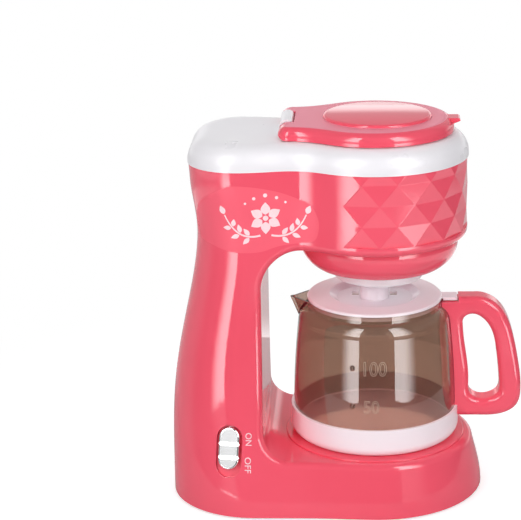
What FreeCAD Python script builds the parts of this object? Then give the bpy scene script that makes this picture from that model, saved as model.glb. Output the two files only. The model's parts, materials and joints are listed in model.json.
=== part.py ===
import FreeCAD, Part
import math
import os

os.makedirs("parts", exist_ok=True)
V = FreeCAD.Vector

# Toy coffee maker, in millimetres. +Z is up and the front faces -Y.
# Everything is drawn about the brew axis, the upright line through carafe and head,
# and moved at the end so that the origin is under the middle of the toy.

# Overall sizes of the pink body
brew_radius = 46.0
base_radius = 54.6
base_half_width = 53.5
base_rear = 102.7
neck_half_width = 36.6
neck_rear = 87.2
top_flare_width = 1.4
top_flare_rear = 3.4
base_corner_radius = 43.0
neck_corner_radius = 25.0
foot_height = 1.0
deck_height = 27.5
head_floor_height = 132.6
seam_height = 173.0
wall = 2.2
column_front = 55.2
arch_top_radius = 20.5
arch_foot_radius = 14.0
rim_round = 3.6

# How the flared foot fades into the upright neck
front_fade_reach = 27.3
side_fade_reach = 42.7
corner_fade_reach = 60.0
front_fade_power = 1.94
side_fade_power = 1.8
corner_fade_power = 1.6
rear_fade_start = 24.0
rear_fade_end = 140.0
rear_fade_skew = 1.3
top_flare_start = 137.0
base_neck_angle = 4.0
head_neck_angle = 30.0
neck_angle_start = 28.0
neck_angle_span = 82.0
section_shares = (0.0, 0.05, 0.1, 0.16, 0.23, 0.31, 0.43, 0.55, 0.65, 0.74, 0.81, 0.88, 0.94, 1.0)

# Triangle relief round the head
facet_columns = 10
facet_step = 21.7
facet_row_height = 10.2
facet_rows = 4
facet_rise = 5.0
facet_sink = 0.12
facet_reach = 6.0

# White top cover and its hinge knuckle
cover_height = 12.0
cover_round = 10.5
cover_overhang = 0.3
cover_lip_depth = 3.5
cover_lip_gap = 0.4
cover_lip_wall = 1.4
cover_shelf = 1.2
cup_hole_radius = 30.2
knuckle_half = 11.0
knuckle_radius = 3.4

# Hinged lid
lid_radius = 39.0
lid_half_width = 25.5
lid_corner_radius = 6.0
lid_neck_angle = 32.0
lid_gap = 0.3
lid_thickness = 6.3
lid_round = 4.8
lid_wall = 2.4
lid_hollow_rear = 36.0
ear_gap = 0.4
hinge_y = 42.6
hinge_rise = 3.9
pin_radius = 1.2
pin_running_gap = 0.08
pin_press_gap = 0.01
pin_length = 41.0
pin_end_gap = 0.5
pad_radius = 26.6
pad_height = 1.5
pad_offset = 1.5
tab_half = 4.5
tab_reach = 2.8
tab_thickness = 2.9

# Water cup, bowl and drip plate
cup_flange_radius = 33.5
cup_flange = 1.3
cup_radius = 29.8
cup_foot_radius = 26.0
cup_depth = 38.0
cup_wall = 1.6
cup_funnel = 7.0
outlet_radius = 3.0
outlet_bore = 2.0
outlet_reach = 4.0
bowl_radius = 39.2
bowl_foot_radius = 32.4
bowl_lead = 2.2
bowl_depth = 14.9
bowl_bulge = 1.9
bowl_wall = 2.0
bowl_spigot_radius = 36.4
bowl_fit_gap = 0.1
drip_radius = 22.3
drip_depth = 7.4
drip_wall = 1.8
drip_round = 1.5
drip_hole = 1.0
drip_hole_circle = 12.0
drip_holes = 6

# Warming plate and carafe
plate_radius = 45.5
plate_height = 0.9
carafe_radius = 41.2
carafe_shoulder_radius = 38.4
carafe_neck_radius = 34.2
carafe_rim_radius = 34.0
carafe_height = 70.5
shoulder_drop = 10.4
neck_drop = 3.4
glass_wall = 1.8
glass_floor = 2.0
band_wall = 1.3
band_height = 14.5
band_floor = 2.6
band_recess = 1.2
band_recess_radius = 31.0
band_round = 4.6
spout_reach = 42.4
spout_half = 13.0
spout_depth = 11.0
spout_nose = 2.0

# Carafe lid
carafe_lid_radius = 33.8
carafe_lid_flange = 1.4
carafe_lid_dome = 0.7
dish_radius = 22.5
dish_drop = 2.3
dish_slope = 3.6
dish_floor = 1.6
plug_gap = 0.4
plug_wall = 1.5
plug_depth = 2.6
knob_radius = 7.3
knob_height = 7.7
knob_round = 1.2
vent_offset = 9.6
vent_width = 3.4
vent_length = 6.0
vent_rearward = 5.6
lid_tab_half = 4.2
lid_tab_reach = 41.4
lid_tab_drop = 1.0

# Carafe handle
handle_half = 7.0
handle_top_rise = 1.1
handle_step = 42.0
handle_step_drop = 2.5
handle_reach = 73.9
handle_bottom_rise = 8.1
handle_round = 3.4
grip_low = 17.5
grip_high = 62.4
grip_inner = 47.4
grip_outer = 63.0

# Slide switch in the left side
switch_y = 71.8
switch_z = 33.0
well_width = 13.0
well_length = 26.0
well_depth = 2.6
well_wall = 2.0
knob_width = 10.4
knob_length = 21.0
knob_proud = 1.0
knob_shift = 1.6
knob_gap = 0.3
groove_radius = 0.9
groove_places = (2.3, -4.4)
stem_width = 3.0
stem_length = 4.0
stem_depth = 5.7
stem_side_gap = 0.3
switch_travel = 3.5
switch_body_width = 9.0
switch_body_length = 15.0
switch_body_depth = 5.4
switch_ear_length = 21.0
switch_ear_thickness = 1.0

# Speaker and its slots
speaker_z = 71.5
speaker_radius = 18.2
speaker_flange = 2.0
speaker_cone_depth = 5.0
speaker_magnet_radius = 9.0
speaker_magnet_depth = 5.0
speaker_face_gap = 5.5
speaker_ring_wall = 1.7
speaker_ring_gap = 0.1
speaker_shoulder = 1.6
slot_count = 12
slot_pitch = 2.8
slot_height = 1.4
slot_half_width = 13.0

# Circuit board on four posts
board_half_width = 18.0
board_low = 74.0
board_high = 116.0
board_thickness = 1.6
board_standoff = 4.8
post_radius = 3.0
post_inset = 5.0
board_screw_radius = 1.1
board_screw_length = 5.0
board_head_radius = 2.2
board_head_height = 1.4
chip_radius = 5.0
chip_height = 1.2
capacitor_radius = 2.5
capacitor_length = 7.0

# Screws that join the halves, as (y, z) on the middle plane
shell_screw_places = ((74.0, 158.0), (80.0, 110.0), (88.0, 14.0), (-24.0, 14.0), (38.0, 146.0))
screw_radius = 1.1
screw_head_radius = 2.6
screw_head_height = 1.8
screw_length = 12.0
screw_seat = 6.0
boss_radius = 4.2
recess_radius = 3.0

# Bottom cover, its screws and the feet
bottom_thickness = 2.2
bottom_gap = 0.3
bottom_screw_places = ((40.0, -18.0), (42.0, 40.0))
foot_places = ((28.0, -34.0), (34.0, 80.0))
foot_radius = 6.0
foot_recess = 0.6

# Battery bay for two AA cells lying across
cell_radius = 7.2
cell_length = 49.5
nub_radius = 2.7
nub_length = 1.0
cell_gap = 0.15
bay_half_length = 29.8
bay_half_width = 15.6
bay_wall = 2.2
bay_ledge = 1.2
door_gap = 0.1
door_thickness = 1.8
door_ear_reach = 9.6
door_ear_half = 5.0
contact_thickness = 0.4
contact_half = 5.0
spring_radius = 3.4
spring_wire = 0.35
spring_turns = 5

# Wires: the points they pass on their way, picked by hand
wire_radius = 0.6
wire_gap = 0.3
wire_lead = 4.0
tag_offset = 4.0
battery_wire_start = (-8.0, 11.0)
battery_wire_way = ((-37.0, 6.0, 12.0), (-35.5, 32.0, 14.0), (-33.5, 54.0, 18.0))
switch_wire_way = ((-25.0, 68.0, 42.0), (-20.0, 68.5, 58.0), (-12.0, 69.0, 72.0))
switch_wire_end = (-6.0, 81.0)
speaker_wire_start = (6.0, 80.0)
speaker_wire_way = ((5.0, 71.5, 77.0),)
speaker_wire_end = (4.0, 73.0)

# Places worked out from the sizes above
head_floor_top = head_floor_height + wall
cover_top = seam_height + cover_height
lid_bottom = cover_top + lid_gap
lid_top = lid_bottom + lid_thickness
hinge_z = lid_bottom + hinge_rise
bowl_bottom = head_floor_height - bowl_depth
drip_bottom = bowl_bottom - drip_depth
plate_top = deck_height + plate_height
glass_bottom = plate_top + band_floor
carafe_rim = plate_top + carafe_height
band_radius = carafe_radius + band_wall
body_height = seam_height - foot_height
row_shift = V(0, (handle_reach - base_rear) / 2.0, 0)
far = 300.0


def fade(height, reach, power):
    """One at the ground, falling to nothing above the given reach."""
    return math.exp(-((max(height, 0.0) / reach) ** power))


def ease(share):
    """A soft step from nought to one."""
    share = min(max(share, 0.0), 1.0)
    return share * share * (3.0 - 2.0 * share)


def upper(height):
    """How far the block has opened out towards the seam."""
    return ease((height - top_flare_start) / (seam_height - top_flare_start))


def front_radius(height):
    return brew_radius + (base_radius - brew_radius) * fade(height, front_fade_reach, front_fade_power)


def half_width(height):
    flare = fade(height, side_fade_reach, side_fade_power)
    return neck_half_width + (base_half_width - neck_half_width) * flare + top_flare_width * upper(height)


def rear_reach(height):
    share = max((height - rear_fade_start) / (rear_fade_end - rear_fade_start), 0.0)
    drawn_in = ease(share ** rear_fade_skew)
    return base_rear - (base_rear - neck_rear) * drawn_in + top_flare_rear * upper(height)


def corner_radius(height):
    flare = fade(height, corner_fade_reach, corner_fade_power)
    return neck_corner_radius + (base_corner_radius - neck_corner_radius) * flare


def mirrored(point):
    return V(-point.x, point.y, point.z)


def keyhole(z, radius, half, rear, corner, neck_angle, pull_front, pull_rear):
    """Round front, drawn-in neck and square rear with round corners, as one closed wire."""
    turn = math.radians(neck_angle)
    neck = V(-radius * math.cos(turn), radius * math.sin(turn), z)
    side = V(-half, rear - corner, z)
    bend = corner * math.sqrt(0.5)
    diagonal = V(-(half - corner) - bend, rear - corner + bend, z)
    back = V(-(half - corner), rear, z)
    span = (side - neck).Length
    lead_in = neck + V(math.sin(turn), math.cos(turn), 0) * (pull_front * span)
    lead_out = side - V(0, pull_rear * span, 0)
    flank = Part.BezierCurve()
    flank.setPoles([neck, lead_in, lead_out, side])
    far_flank = Part.BezierCurve()
    far_flank.setPoles([mirrored(side), mirrored(lead_out), mirrored(lead_in), mirrored(neck)])
    return Part.Wire([
        flank.toShape(),
        Part.Arc(side, diagonal, back).toShape(),
        Part.makeLine(back, mirrored(back)),
        Part.Arc(mirrored(back), mirrored(diagonal), mirrored(side)).toShape(),
        far_flank.toShape(),
        Part.Arc(mirrored(neck), V(0, -radius, z), neck).toShape(),
    ])


def body_section(z, inset, at=None):
    """The body's outline at a height, drawn in by a wall."""
    height = z if at is None else at
    neck_angle = base_neck_angle + (head_neck_angle - base_neck_angle) * ease(
        (height - neck_angle_start) / neck_angle_span)
    return keyhole(
        z,
        front_radius(height) - inset,
        half_width(height) - inset,
        rear_reach(height) - inset,
        corner_radius(height) - inset,
        neck_angle,
        0.5,
        0.42,
    )


def box(x0, x1, y0, y1, z0, z1):
    return Part.makeBox(x1 - x0, y1 - y0, z1 - z0, V(x0, y0, z0))


def rod(radius, start, end):
    """Round bar between two points."""
    along = end - start
    return Part.makeCylinder(radius, along.Length, start, along)


def spun(points):
    """Solid turned about the brew axis from (radius, height) points and arcs given as triples."""
    edges = []
    last = points[0]
    for step in points[1:] + [points[0]]:
        if isinstance(step[0], tuple):
            middle, end = step
            edges.append(Part.Arc(V(last[0], 0, last[1]), V(middle[0], 0, middle[1]), V(end[0], 0, end[1])).toShape())
            last = end
        else:
            edges.append(Part.makeLine(V(last[0], 0, last[1]), V(step[0], 0, step[1])))
            last = step
    return Part.Face(Part.Wire(edges)).revolve(V(0, 0, 0), V(0, 0, 1), 360)


def side_profile(points, half):
    """Plate of a given half width across X, from (y, z) points and arcs given as pairs."""
    edges = []
    last = points[0]
    for step in points[1:] + [points[0]]:
        if isinstance(step[0], tuple):
            middle, end = step
            edges.append(Part.Arc(V(-half, *last), V(-half, *middle), V(-half, *end)).toShape())
            last = end
        else:
            edges.append(Part.makeLine(V(-half, *last), V(-half, *step)))
            last = step
    return Part.Face(Part.Wire(edges)).extrude(V(2 * half, 0, 0))


def stadium(width, length, low, high):
    """Bar with round ends, long along its own Y, between two depths along its own Z."""
    r = width / 2.0
    straight = length / 2.0 - r
    left = V(-r, 0, low)
    outline = Part.Wire([
        Part.makeLine(left - V(0, straight, 0), left + V(0, straight, 0)),
        Part.Arc(V(-r, straight, low), V(0, straight + r, low), V(r, straight, low)).toShape(),
        Part.makeLine(V(r, straight, low), V(r, -straight, low)),
        Part.Arc(V(r, -straight, low), V(0, -straight - r, low), V(-r, -straight, low)).toShape(),
    ])
    return Part.Face(outline).extrude(V(0, 0, high - low))


def save(name, shape):
    moved = shape.copy()
    moved.translate(row_shift)
    moved.exportStep("parts/" + name + ".step")


# Pink body

def body_loft(inset, overrun):
    """Body outline from ground to seam. An overrun carries a cavity past both ends."""
    heights = [foot_height + share * body_height for share in section_shares]
    wires = [body_section(z, inset) for z in heights]
    loft = Part.makeLoft(wires, True, False)
    if overrun > 0:
        low = Part.Face(body_section(foot_height, inset)).extrude(V(0, 0, -overrun))
        high = Part.Face(body_section(seam_height, inset)).extrude(V(0, 0, overrun))
        loft = loft.fuse([low, high])
    return loft


def arch(grow):
    """The open brew bay, seen from the side. Growing it by a wall bounds the cavity."""
    low = deck_height - grow
    high = head_floor_height + grow
    back = column_front + grow
    top = arch_top_radius + grow
    foot = arch_foot_radius + grow
    bend = 1.0 - math.sqrt(0.5)
    return side_profile([
        (-far, low),
        (back - foot, low),
        ((back - foot * bend, low + foot * bend), (back, low + foot)),
        (back, high - top),
        ((back - top * bend, high - top * bend), (back - top, high)),
        (-far, high),
    ], 2 * base_half_width)


def is_bay_rim(edge):
    """True for the edges where the bay meets the body's outside."""
    bounds = edge.BoundBox
    middle = edge.valueAt((edge.FirstParameter + edge.LastParameter) / 2.0)
    inside = bounds.ZMin > deck_height - 0.1 and bounds.ZMax < head_floor_height + 0.1
    across = middle.y > 0 and abs(middle.x) < 1.0
    return inside and not across


def facet_points(row, grown):
    """Corners of one row of the relief, from the right side round the front to the left."""
    count = facet_columns + 1 - row % 2
    height = head_floor_height + facet_rise + row * facet_row_height
    points = []
    for place in range(count):
        turn = math.radians((place - (count - 1) / 2.0) * facet_step)
        out = V(math.sin(turn), -math.cos(turn), 0)
        point = out * (brew_radius - facet_sink) + V(0, 0, height)
        if grown:
            at_end = place in (0, count - 1)
            lean = math.copysign(math.radians((facet_columns - 0.5) * facet_step / 2.0), turn)
            push = V(math.sin(lean), -math.cos(lean), 0) if at_end else out
            point = point + push * facet_reach
        points.append(point)
    return points


def facet_sheet(grown):
    """Rows of triangles: each row's corners sit midway between the next row's."""
    faces = []
    for row in range(facet_rows):
        low = facet_points(row, grown)
        high = facet_points(row + 1, grown)
        wide, narrow = (low, high) if len(low) > len(high) else (high, low)
        for place in range(len(narrow)):
            faces.append((wide[place], wide[place + 1], narrow[place]))
        for place in range(len(narrow) - 1):
            faces.append((narrow[place], narrow[place + 1], wide[place + 1]))
    return faces


def facet_cutter():
    """What the triangle relief takes off the round head."""
    outlines = facet_sheet(False) + facet_sheet(True)
    for row in (0, facet_rows):
        outlines.append(facet_points(row, False) + facet_points(row, True)[::-1])
    for row in range(facet_rows):
        for end in (0, -1):
            near = (facet_points(row, False)[end], facet_points(row + 1, False)[end])
            out = (facet_points(row + 1, True)[end], facet_points(row, True)[end])
            outlines.append(near + out)
    faces = [Part.Face(Part.makePolygon(list(points) + [points[0]])) for points in outlines]
    return Part.Solid(Part.Shell(faces))


def switch_frame():
    """Placement on the left side: its Y runs up the wall and its Z points out."""
    slope = (half_width(switch_z + 1.0) - half_width(switch_z - 1.0)) / 2.0
    lean = math.atan(-slope)
    corner = corner_radius(switch_z)
    rise = switch_y - (rear_reach(switch_z) - corner)
    turn = math.asin(min(max(rise / corner, 0.0), 0.7))
    out = V(-math.cos(lean) * math.cos(turn), math.cos(lean) * math.sin(turn), math.sin(lean))
    up = V(math.sin(lean) * math.cos(turn), -math.sin(lean) * math.sin(turn), math.cos(lean))
    across = up.cross(out)
    place = V(-(half_width(switch_z) - corner) - corner * math.cos(turn), switch_y, switch_z)
    matrix = FreeCAD.Matrix(
        across.x, up.x, out.x, place.x,
        across.y, up.y, out.y, place.y,
        across.z, up.z, out.z, place.z,
        0, 0, 0, 1,
    )
    return FreeCAD.Placement(matrix)


def on_switch(shape):
    placed = shape.copy()
    placed.Placement = switch_frame().multiply(shape.Placement)
    return placed


def well_slot():
    """Slot in the well's floor that the knob's stem runs in."""
    length = stem_length + switch_travel + 2 * stem_side_gap
    middle = knob_shift - switch_travel / 2.0
    half = stem_width / 2.0 + stem_side_gap
    return box(-half, half, middle - length / 2.0, middle + length / 2.0, -far / 10.0, -well_depth + 0.1)


def screw_boss(y, z):
    return rod(boss_radius, V(-2 * base_half_width, y, z), V(2 * base_half_width, y, z))


def bottom_boss(x, y):
    return rod(boss_radius, V(x, y, foot_height + bottom_thickness), V(x, y, deck_height - wall / 2.0))


def sides(places):
    """Each place and its mirror image."""
    return [(sign * x, y) for x, y in places for sign in (-1, 1)]


def speaker_seat(height):
    """Where the speaker's front face stands, ahead of the rear wall."""
    return rear_reach(height) - wall - speaker_face_gap


def speaker_ring(solid_body):
    """Ring the speaker slides into, with a shoulder that its front face rests on."""
    face = speaker_seat(speaker_z)
    start = face - speaker_flange - 1.0
    back = V(0, far, speaker_z)
    bore = speaker_radius + speaker_ring_gap
    ring = rod(bore + speaker_ring_wall, V(0, start, speaker_z), back)
    ring = ring.cut(rod(bore, V(0, start - 1.0, speaker_z), V(0, face, speaker_z)))
    ring = ring.cut(rod(speaker_radius - speaker_shoulder, V(0, start, speaker_z), back))
    return ring.common(solid_body)


def slots():
    """Level slots through the rear wall, kept inside the speaker's ring."""
    bars = []
    for place in range(slot_count):
        rise = (place - (slot_count - 1) / 2.0) * slot_pitch
        half = min(slot_half_width, math.sqrt((speaker_radius - speaker_shoulder) ** 2 - rise ** 2))
        low = speaker_z + rise - slot_height / 2.0
        bars.append(box(-half, half, speaker_seat(speaker_z), far, low, low + slot_height))
    return bars


def post_places():
    reach = board_half_width - post_inset
    return [(x, z) for x in (-reach, reach) for z in (board_low + post_inset, board_high - post_inset)]


def ahead(shape):
    """Moved from the carafe's axis to the bowl's, a little nearer the front."""
    moved = shape.copy()
    moved.translate(V(0, -bowl_lead, 0))
    return moved


def bowl_profile():
    """Outer side of the bowl, from its lip down to its foot."""
    middle = ((bowl_radius + bowl_foot_radius) / 2.0 + bowl_bulge, head_floor_height - bowl_depth / 2.0 - bowl_bulge)
    return middle, (bowl_foot_radius, bowl_bottom)


def body_shells():
    """The two pink halves with all their bosses, posts and wells."""
    solid = body_loft(0.0, 0.0).cut(arch(0.0))
    solid = solid.makeFillet(rim_round, [edge for edge in solid.Edges if is_bay_rim(edge)])
    cavity = body_loft(wall, 2 * wall).cut(arch(wall))
    cavity = cavity.cut([screw_boss(y, z) for y, z in shell_screw_places])
    cavity = cavity.cut([bottom_boss(x, y) for x, y in sides(bottom_screw_places)])
    posts_end = column_front + wall + board_standoff
    cavity = cavity.cut([rod(post_radius, V(x, column_front, z), V(x, posts_end, z)) for x, z in post_places()])
    cavity = cavity.cut(speaker_ring(solid))
    well = stadium(well_width + 2 * well_wall, well_length + 2 * well_wall, -well_depth - well_wall, 2 * well_wall)
    cavity = cavity.cut(on_switch(well))
    lip, foot = bowl_profile()
    gap = bowl_fit_gap
    bowl_space = spun([
        (0.0, head_floor_height),
        (bowl_radius + gap, head_floor_height),
        ((lip[0] + gap, lip[1]), (foot[0] + gap, foot[1])),
        (0.0, bowl_bottom),
    ])
    hole = rod(bowl_spigot_radius + gap, V(0, 0, head_floor_height - 1.0), V(0, 0, head_floor_top + 1.0))
    cuts = [facet_cutter(), ahead(bowl_space), ahead(hole)]
    cuts.append(on_switch(stadium(well_width, well_length, -well_depth, far / 10.0)))
    cuts.append(on_switch(well_slot()))
    cuts += slots()
    for x, z in post_places():
        cuts.append(rod(board_screw_radius, V(x, posts_end - board_screw_length, z), V(x, posts_end + 1.0, z)))
    for x, y in sides(bottom_screw_places):
        depth = foot_height + bottom_thickness + screw_length
        cuts.append(rod(screw_radius, V(x, y, foot_height), V(x, y, depth)))
    for y, z in shell_screw_places:
        cuts.append(rod(screw_radius, V(screw_seat - screw_length - 0.5, y, z), V(screw_seat, y, z)))
        cuts.append(rod(recess_radius, V(screw_seat, y, z), V(2 * base_half_width, y, z)))
    shell = solid.cut(cavity).cut(cuts)
    half = box(-far, 0, -far, far, -far, far)
    return shell.common(half), shell.cut(half)


def screw(start, along, length, head_radius, head_height, radius):
    """Pan-head screw: the head lies behind the start, the shank runs ahead of it."""
    head = Part.makeCylinder(head_radius, head_height, start - along * head_height, along)
    shank = Part.makeCylinder(radius, length, start, along)
    return head.fuse(shank)


def shell_screws():
    start = V(screw_seat, 0, 0)
    return Part.makeCompound([
        screw(start + V(0, y, z), V(-1, 0, 0), screw_length, screw_head_radius, screw_head_height, screw_radius)
        for y, z in shell_screw_places
    ])


# Top cover, lid and hinge

def cover_block(inset, height, rounding):
    block = Part.Face(body_section(seam_height, inset)).extrude(V(0, 0, height))
    top = [edge for edge in block.Edges if edge.BoundBox.ZMin > seam_height + height - 0.01]
    return block.makeFillet(rounding, top)


def knuckle():
    """White upright between the lid's ears, round over the pin."""
    low = cover_top - wall / 2.0
    r = knuckle_radius
    upright = box(-knuckle_half, knuckle_half, hinge_y - r, hinge_y + r, low, hinge_z)
    return upright.fuse(rod(r, V(-knuckle_half, hinge_y, hinge_z), V(knuckle_half, hinge_y, hinge_z)))


def top_cover():
    cover = cover_block(-cover_overhang, cover_height, cover_round)
    cover = cover.cut(cover_block(wall, cover_height - wall, cover_round - wall))
    lip_outside = wall + cover_lip_gap
    lip_inside = lip_outside + cover_lip_wall
    lip = Part.Face(body_section(seam_height, lip_outside)).extrude(V(0, 0, -cover_lip_depth))
    lip = lip.cut(Part.Face(body_section(seam_height, lip_inside)).extrude(V(0, 0, -far)))
    shelf = Part.Face(body_section(seam_height, wall / 2.0)).extrude(V(0, 0, cover_shelf))
    shelf = shelf.cut(Part.Face(body_section(seam_height, lip_inside)).extrude(V(0, 0, far)))
    cover = cover.fuse([lip, shelf, knuckle()])
    cover = cover.cut(rod(cup_hole_radius, V(0, 0, seam_height), V(0, 0, cover_top + 1.0)))
    return cover.cut(rod(pin_radius + pin_press_gap, V(-far, hinge_y, hinge_z), V(far, hinge_y, hinge_z)))


def lid_outline(z, inset):
    return keyhole(
        z,
        lid_radius - inset,
        lid_half_width - inset,
        hinge_y + hinge_rise - inset,
        lid_corner_radius - inset,
        lid_neck_angle,
        0.35,
        0.35,
    )


def brew_lid():
    lid = Part.Face(lid_outline(lid_bottom, 0.0)).extrude(V(0, 0, lid_thickness))
    top = [edge for edge in lid.Edges if edge.BoundBox.ZMin > lid_top - 0.01]
    lid = lid.makeFillet(lid_round, top)
    pad_low = V(0, -pad_offset, lid_top - 1.0)
    pad = Part.makeCylinder(pad_radius, pad_height + 1.0, pad_low)
    pad = pad.makeFillet(pad_height - 0.1, [e for e in pad.Edges if e.BoundBox.ZMin > lid_top])
    tip = -lid_radius - tab_reach
    tab_top = lid_top - 0.3
    tab = side_profile([
        (-lid_radius + 4.0, tab_top),
        (tip + 1.2, tab_top),
        ((tip + 0.2, tab_top - 0.4), (tip, tab_top - 1.4)),
        (-lid_radius + 1.0, tab_top - tab_thickness),
        (-lid_radius + 4.0, tab_top - tab_thickness),
    ], tab_half)
    behind = box(-far, far, hinge_y, far, lid_bottom - 1.0, lid_top + 1.0)
    behind = behind.cut(rod(hinge_rise, V(-far, hinge_y, hinge_z), V(far, hinge_y, hinge_z)))
    hollow = Part.Face(lid_outline(lid_bottom - 1.0, lid_wall)).extrude(V(0, 0, lid_thickness + 1.0 - lid_wall))
    hollow = hollow.common(box(-far, far, -far, lid_hollow_rear, 0, far))
    gap = knuckle_half + ear_gap
    notch = box(-gap, gap, hinge_y - knuckle_radius - ear_gap, far, lid_bottom - 1.0, lid_top + 1.0)
    bore_half = pin_length / 2.0 + pin_end_gap
    bore = rod(pin_radius + pin_running_gap, V(-bore_half, hinge_y, hinge_z), V(bore_half, hinge_y, hinge_z))
    return lid.fuse([pad, tab]).cut([behind, hollow, notch, bore])


def hinge_pin():
    return rod(pin_radius, V(-pin_length / 2.0, hinge_y, hinge_z), V(pin_length / 2.0, hinge_y, hinge_z))


# Water cup, bowl and drip plate

def water_cup():
    foot = cover_top - cup_depth
    spout = foot - cup_funnel
    end = bowl_bottom - outlet_reach
    return spun([
        (cup_flange_radius, cover_top),
        (cup_flange_radius, cover_top + cup_flange),
        (cup_radius - cup_wall, cover_top + cup_flange),
        (cup_foot_radius - cup_wall, foot),
        (outlet_bore, spout + cup_wall),
        (outlet_bore, end),
        (outlet_radius, end),
        (outlet_radius, spout),
        (cup_foot_radius, foot),
        (cup_radius, cover_top),
    ])


def brew_bowl():
    middle, foot = bowl_profile()
    inner_middle = (middle[0] - bowl_wall * 0.8, middle[1] + bowl_wall * 0.6)
    inner_foot = (foot[0] - bowl_wall, foot[1] + bowl_wall)
    bowl = ahead(spun([
        (0.0, bowl_bottom),
        (foot[0], foot[1]),
        (middle, (bowl_radius, head_floor_height)),
        (bowl_spigot_radius, head_floor_height),
        (bowl_spigot_radius, head_floor_top),
        (bowl_spigot_radius - bowl_wall, head_floor_top),
        (bowl_spigot_radius - bowl_wall, head_floor_height),
        (inner_middle, inner_foot),
        (0.0, bowl_bottom + bowl_wall),
    ]))
    return bowl.cut(rod(outlet_radius, V(0, 0, bowl_bottom - 1.0), V(0, 0, bowl_bottom + bowl_wall + 1.0)))


def drip_plate():
    bend = drip_round * (1.0 - math.sqrt(0.5))
    plate = spun([
        (0.0, drip_bottom),
        (drip_radius - drip_round, drip_bottom),
        ((drip_radius - bend, drip_bottom + bend), (drip_radius, drip_bottom + drip_round)),
        (drip_radius, bowl_bottom),
        (drip_radius - drip_wall, bowl_bottom),
        (drip_radius - drip_wall, drip_bottom + drip_wall),
        (0.0, drip_bottom + drip_wall),
    ])
    holes = [rod(1.5 * drip_hole, V(0, 0, drip_bottom - 1), V(0, 0, bowl_bottom))]
    for place in range(drip_holes):
        turn = 2 * math.pi * place / drip_holes
        at = V(drip_hole_circle * math.cos(turn), drip_hole_circle * math.sin(turn), 0)
        holes.append(rod(drip_hole, at + V(0, 0, drip_bottom - 1), at + V(0, 0, bowl_bottom)))
    return ahead(plate.cut(holes))


def warming_plate():
    disc = spun([
        (0.0, deck_height),
        (plate_radius, deck_height),
        (plate_radius, plate_top - 0.4),
        (plate_radius - 0.4, plate_top),
        (0.0, plate_top),
    ])
    return disc.common(arch(0.0))


# Carafe

def run_on(start, middle, joint, end):
    """Middle of the arc to the end that carries on smoothly from the arc through the first three points."""
    before = Part.Arc(V(*start, 0), V(*middle, 0), V(*joint, 0)).toShape()
    along = before.tangentAt(before.LastParameter)
    chord = V(*end, 0) - V(*joint, 0)
    aside = along - chord * (along.dot(chord) / chord.dot(chord))
    rise = chord.Length / 2.0 * math.tan(along.getAngle(chord) / 2.0)
    place = (V(*joint, 0) + V(*end, 0)) * 0.5 + aside.normalize() * rise
    return place.x, place.y


def glass_outline(inset):
    """Side of the pot from its ring to the rim, drawn in by a wall."""
    height = carafe_rim - shoulder_drop
    belly = (carafe_radius - inset, plate_top + band_height)
    bulge = (carafe_radius - 0.8 - inset, (plate_top + band_height + height) / 2.0)
    shoulder = (carafe_shoulder_radius - inset, height)
    neck = (carafe_neck_radius - inset, carafe_rim - neck_drop - inset * 0.5)
    return [
        belly,
        (bulge, shoulder),
        (run_on(belly, bulge, shoulder, neck), neck),
        (carafe_rim_radius - inset, carafe_rim),
    ]


def spout(inset, top):
    """Pouring lip: a rounded beak that narrows as it runs down into the shoulder."""
    wires = []
    for share in (0.0, 1.0):
        nose = spout_reach - inset - share * (spout_reach - carafe_shoulder_radius + 0.6)
        half = (spout_half - inset) * (1.0 - 0.75 * share)
        z = top - share * (spout_depth - inset)
        back = carafe_neck_radius - 4.0 - share * 1.5
        r = spout_nose * (1.0 - 0.4 * share)
        wires.append(Part.Wire([
            Part.makeLine(V(-half, back, z), V(-r, nose - r, z)),
            Part.Arc(V(-r, nose - r, z), V(0, nose, z), V(r, nose - r, z)).toShape(),
            Part.makeLine(V(r, nose - r, z), V(half, back, z)),
            Part.makeLine(V(half, back, z), V(-half, back, z)),
        ]))
    return Part.makeLoft(wires, True, True)


def pot_space():
    """The pot filled solid, to seat handle and ring on."""
    return spun([(0.0, glass_bottom), (carafe_radius, glass_bottom)] + glass_outline(0.0) + [(0.0, carafe_rim)])


def carafe_body():
    inner = glass_outline(glass_wall)
    floor = glass_bottom + glass_floor
    hollow = spun([(0.0, floor), (carafe_radius - glass_wall, floor)] + inner + [(0.0, carafe_rim)])
    hollow = hollow.fuse(rod(carafe_rim_radius - glass_wall, V(0, 0, carafe_rim - 1.0), V(0, 0, carafe_rim + 1.0)))
    pot = pot_space().fuse(spout(0.0, carafe_rim))
    return pot.cut([hollow, spout(glass_wall * 0.8, carafe_rim + 0.01)])


def carafe_base():
    bend = 1.0 - math.sqrt(0.5)
    return spun([
        (0.0, plate_top + band_recess),
        (band_recess_radius, plate_top + band_recess),
        (band_recess_radius, plate_top),
        (band_radius - band_round, plate_top),
        ((band_radius - band_round * bend, plate_top + band_round * bend), (band_radius, plate_top + band_round)),
        (band_radius, plate_top + band_height),
        (carafe_radius, plate_top + band_height),
        (carafe_radius, glass_bottom),
        (0.0, glass_bottom),
    ])


def soft_curve(points, x, closed):
    """Smooth curve through a few (y, z) points at one X."""
    curve = Part.BSplineCurve()
    if closed:
        curve.interpolate([V(x, *point) for point in points], PeriodicFlag=True)
    else:
        curve.interpolate([V(x, *point) for point in points])
    return curve.toShape()


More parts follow.
